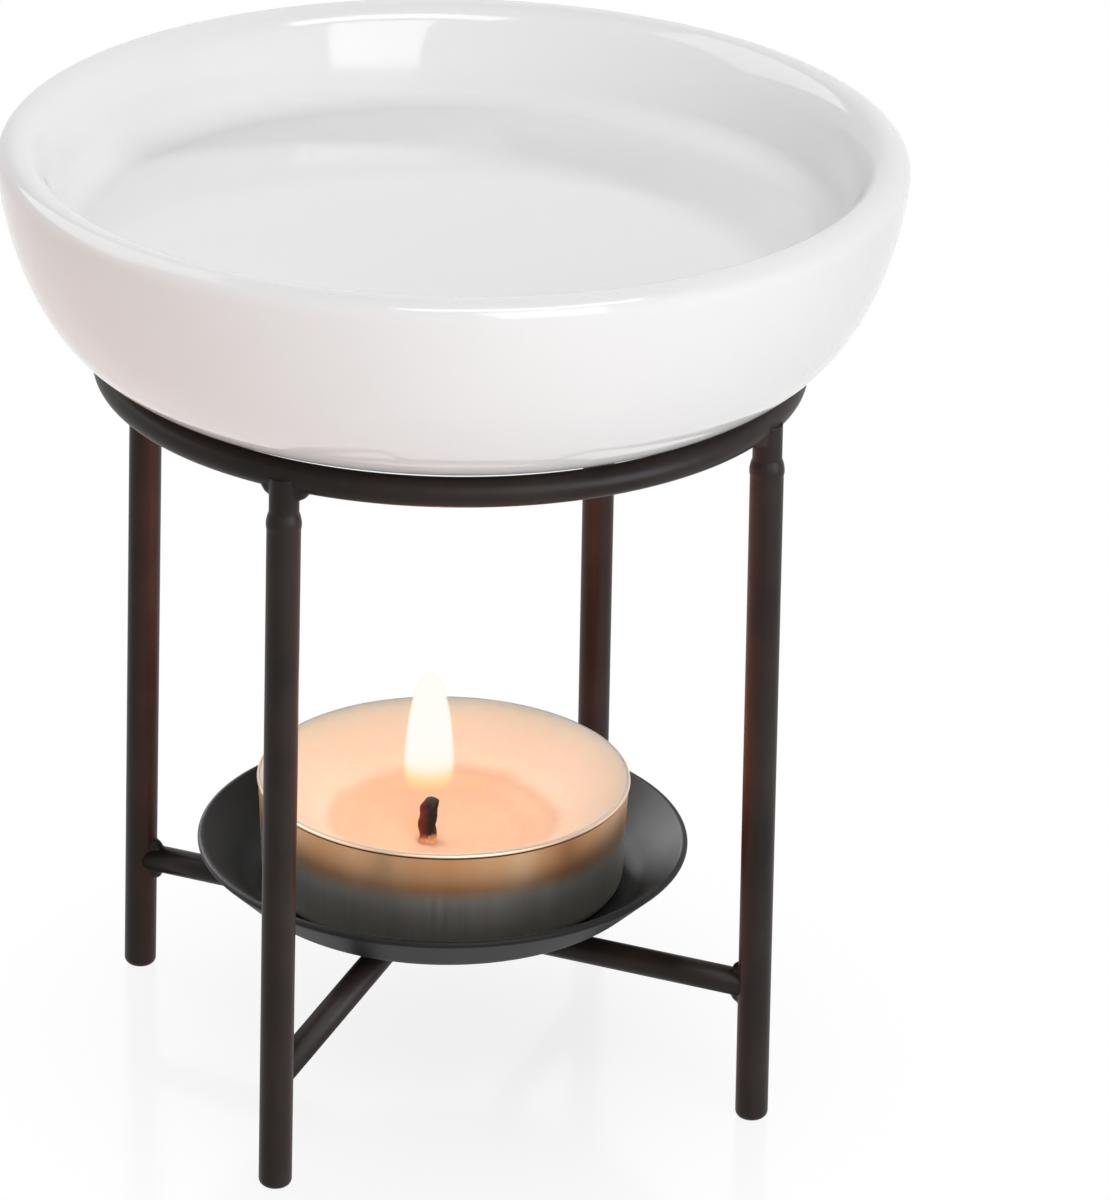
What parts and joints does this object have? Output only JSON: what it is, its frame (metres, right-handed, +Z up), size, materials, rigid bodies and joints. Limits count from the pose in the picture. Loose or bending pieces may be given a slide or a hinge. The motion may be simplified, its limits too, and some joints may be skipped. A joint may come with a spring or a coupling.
{
  "type": "essential oil burner",
  "caption": "Round glazed ceramic dish that rests in a welded wire stand, over a tealight on a pressed metal tray, for warming scented oil.",
  "frame": {"origin": "on the table, on the axis of the ring, the tray and the dish", "axes": "+Z up along that axis, -Y towards the front, +X to the right as seen from the front"},
  "size_m": [0.0914, 0.0914, 0.1012],
  "materials": {
    "glazed_stoneware": "gloss white glaze",
    "painted_steel": "satin black paint",
    "drawn_aluminium": "bright drawn sheet",
    "paraffin_wax": "soft, slightly translucent wax",
    "tinned_steel": "pressed sheet",
    "charred_cotton": "charred braid"
  },
  "bodies": {
    "stand": {"support_ring": "painted_steel", "leg_front_left": "painted_steel", "leg_front_right": "painted_steel", "leg_back_left": "painted_steel", "leg_back_right": "painted_steel", "cross_bar_straight": "painted_steel", "cross_bar_arched": "painted_steel", "candle_tray": "painted_steel", "ring_leg_welds": "painted_steel", "bar_leg_welds": "painted_steel", "bar_crossing_welds": "painted_steel", "tray_welds": "painted_steel"},
    "dish": {"ceramic_dish": "glazed_stoneware"},
    "tealight": {"tealight_cup": "drawn_aluminium", "candle_wax": "paraffin_wax", "wick_sustainer": "tinned_steel", "candle_wick": "charred_cotton"}
  },
  "joints": [
    {"name": "dish_lift", "type": "slide", "parent": "stand", "child": "dish", "axis": [0, 0, 1], "range_m": [0, 0.06]},
    {"name": "tealight_out", "type": "slide", "parent": "stand", "child": "tealight", "axis": [0, -0.809, 0.5878], "range_m": [0, 0.089]}
  ]
}
